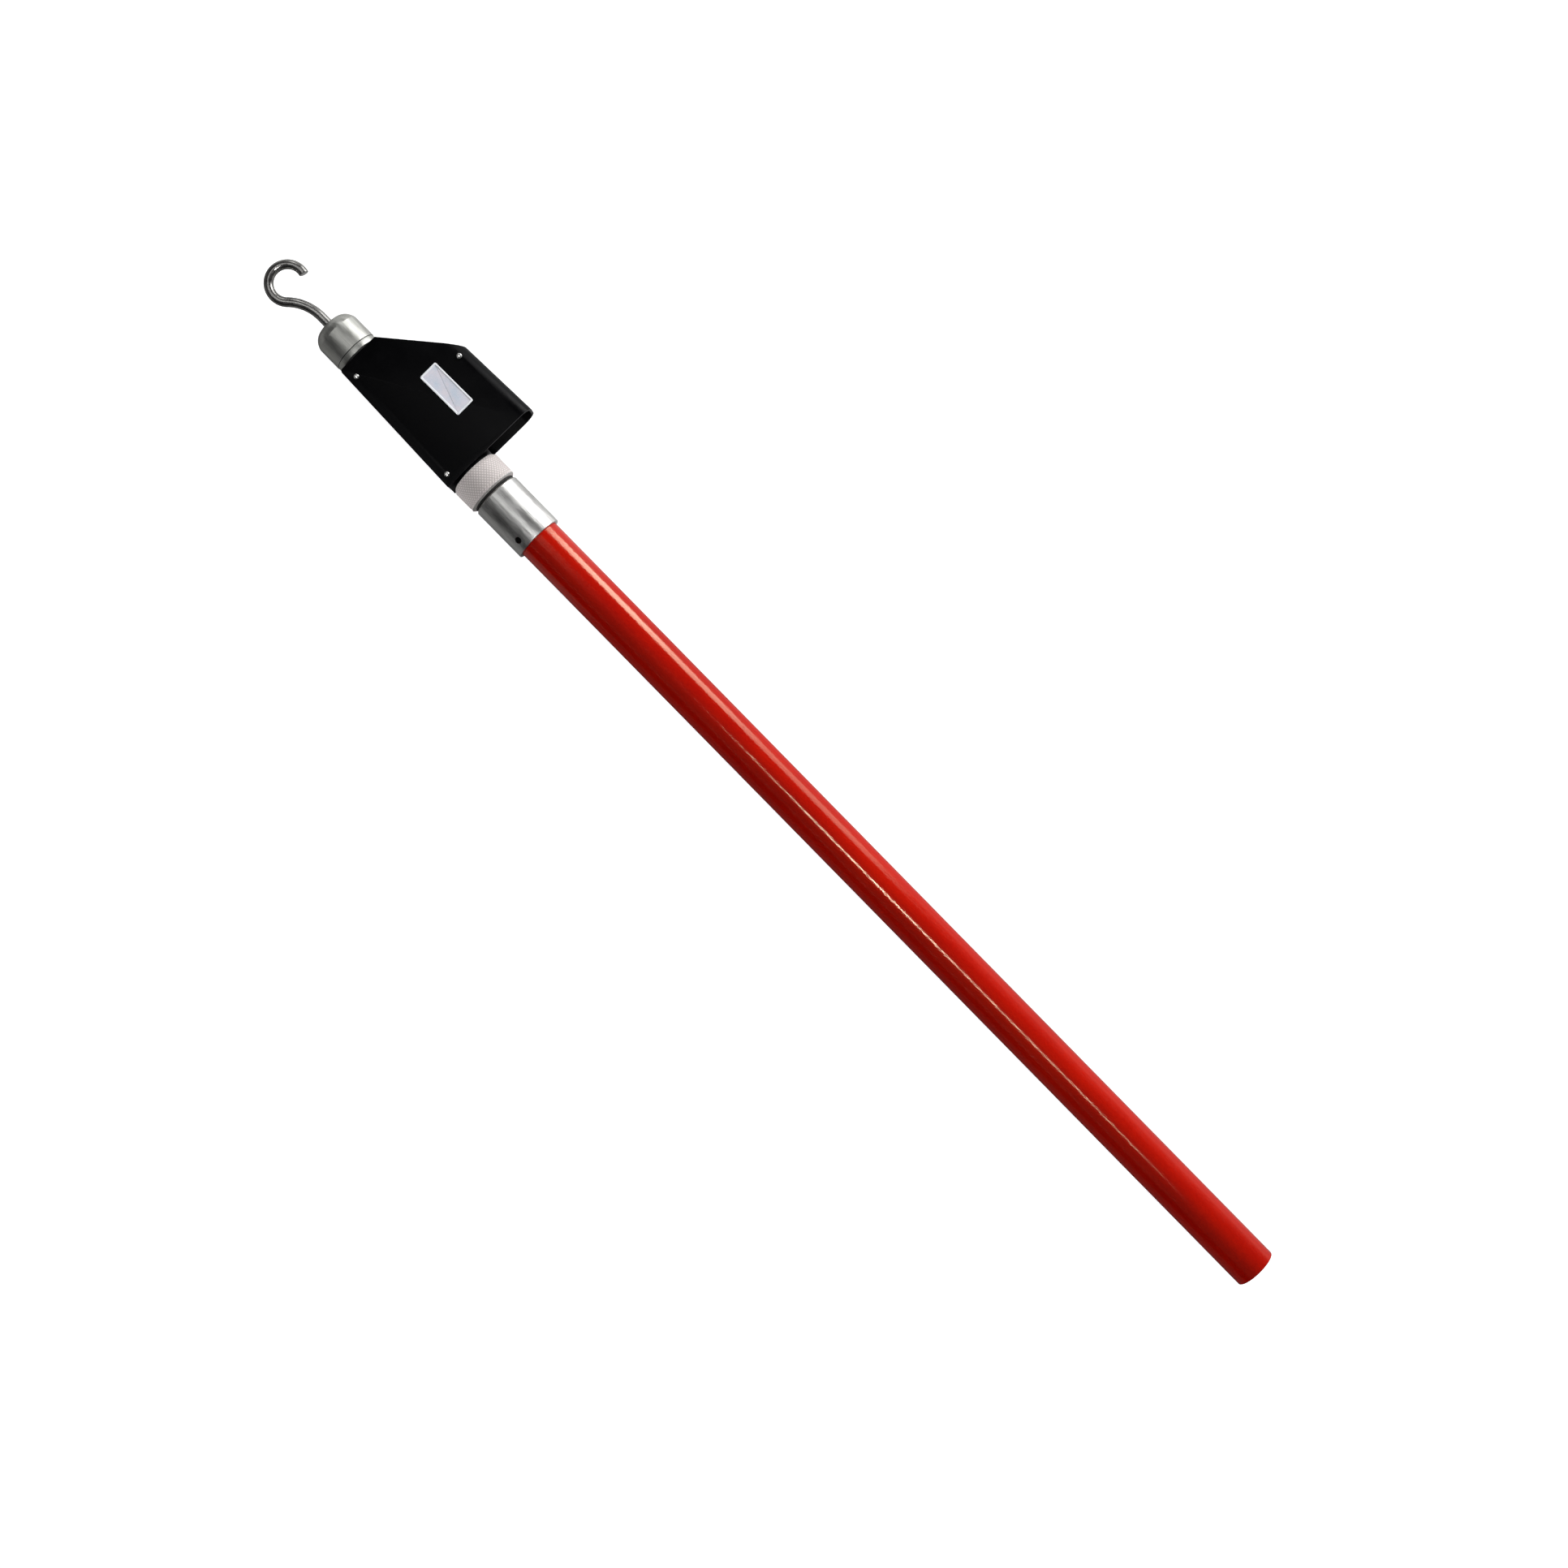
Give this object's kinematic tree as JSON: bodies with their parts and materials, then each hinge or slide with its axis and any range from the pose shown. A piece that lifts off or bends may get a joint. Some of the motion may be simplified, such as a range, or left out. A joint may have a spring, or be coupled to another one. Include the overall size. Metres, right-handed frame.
{
  "type": "high voltage detector",
  "caption": "Contact voltage detector: open hook electrode on a metal cap, neon lamp shaded by a black hood, knurled coupling nut and a red insulating pole.",
  "frame": {"origin": "centre of the pole's butt end", "axes": "+X along the pole from its butt to the hook, +Z out of the hood's front, where the rating plate is, -Y towards the hood's wide side"},
  "size_m": [0.9925, 0.0803, 0.0398],
  "materials": {
    "red_fibreglass": "gloss",
    "black_rubber": "matte",
    "pole_foam": "matte",
    "polished_aluminium": "satin",
    "knurled_aluminium": "matte",
    "dark_steel": "satin",
    "hook_steel": "satin",
    "bright_screw": "polished",
    "black_hood": "satin",
    "phenolic": "satin",
    "plate": "satin",
    "red_lens": "gloss",
    "reflector": "polished",
    "lamp_glass": "gloss",
    "brass": "satin",
    "resistor_ceramic": "satin",
    "lead_sheath": "satin"
  },
  "bodies": {
    "pole": {"pole_tube": "red_fibreglass", "butt_plug": "black_rubber", "foam_core": "pole_foam", "ferrule": "polished_aluminium", "ferrule_pin_front": "dark_steel", "ferrule_pin_back": "dark_steel", "seal_ring": "black_rubber"},
    "head": {"coupling_spigot": "polished_aluminium", "core_tube": "phenolic", "spigot_pin": "dark_steel", "foot_ring": "black_hood", "hood_cover": "black_hood", "hood_frame": "black_hood", "screw_front_upper": "bright_screw", "screw_front_lower": "bright_screw", "screw_front_corner": "bright_screw", "screw_back_upper": "bright_screw", "screw_back_lower": "bright_screw", "screw_back_corner": "bright_screw", "rating_plate": "plate", "lamp_lens": "red_lens", "lampholder": "black_hood", "reflector": "reflector", "neon_lamp": "lamp_glass", "lamp_base": "brass", "insulating_washer": "phenolic", "resistor_foot": "brass", "series_resistor": "resistor_ceramic", "resistor_sleeve": "brass", "lead_live": "lead_sheath", "lead_return": "lead_sheath", "hood_gasket": "black_rubber", "clamp_ring": "polished_aluminium", "end_cap": "polished_aluminium"},
    "nut": {"coupling_nut": "knurled_aluminium"},
    "plunger": {"contact_plunger": "brass"},
    "hook": {"hook_electrode": "hook_steel"}
  },
  "joints": [
    {"name": "head_lift", "type": "slide", "parent": "pole", "child": "head", "axis": [1, 0, 0], "range_m": [0, 0.01]},
    {"name": "nut_spin", "type": "hinge", "parent": "head", "child": "nut", "pos_m": [0.778, 0, 0], "axis": [1, 0, 0], "range_deg": [0, 1800]},
    {"name": "plunger_travel", "type": "slide", "parent": "head", "child": "plunger", "axis": [1, 0, 0], "range_m": [0, 0.012]},
    {"name": "hook_turn", "type": "hinge", "parent": "plunger", "child": "hook", "pos_m": [0.9333, 0, 0], "axis": [1, 0, 0], "range_deg": [0, 4320]}
  ],
  "couplings": [
    {"joint": "nut_spin", "follows": "head_lift", "rad_per_m": 3141.6},
    {"joint": "hook_turn", "follows": "plunger_travel", "rad_per_m": 6283.2}
  ]
}
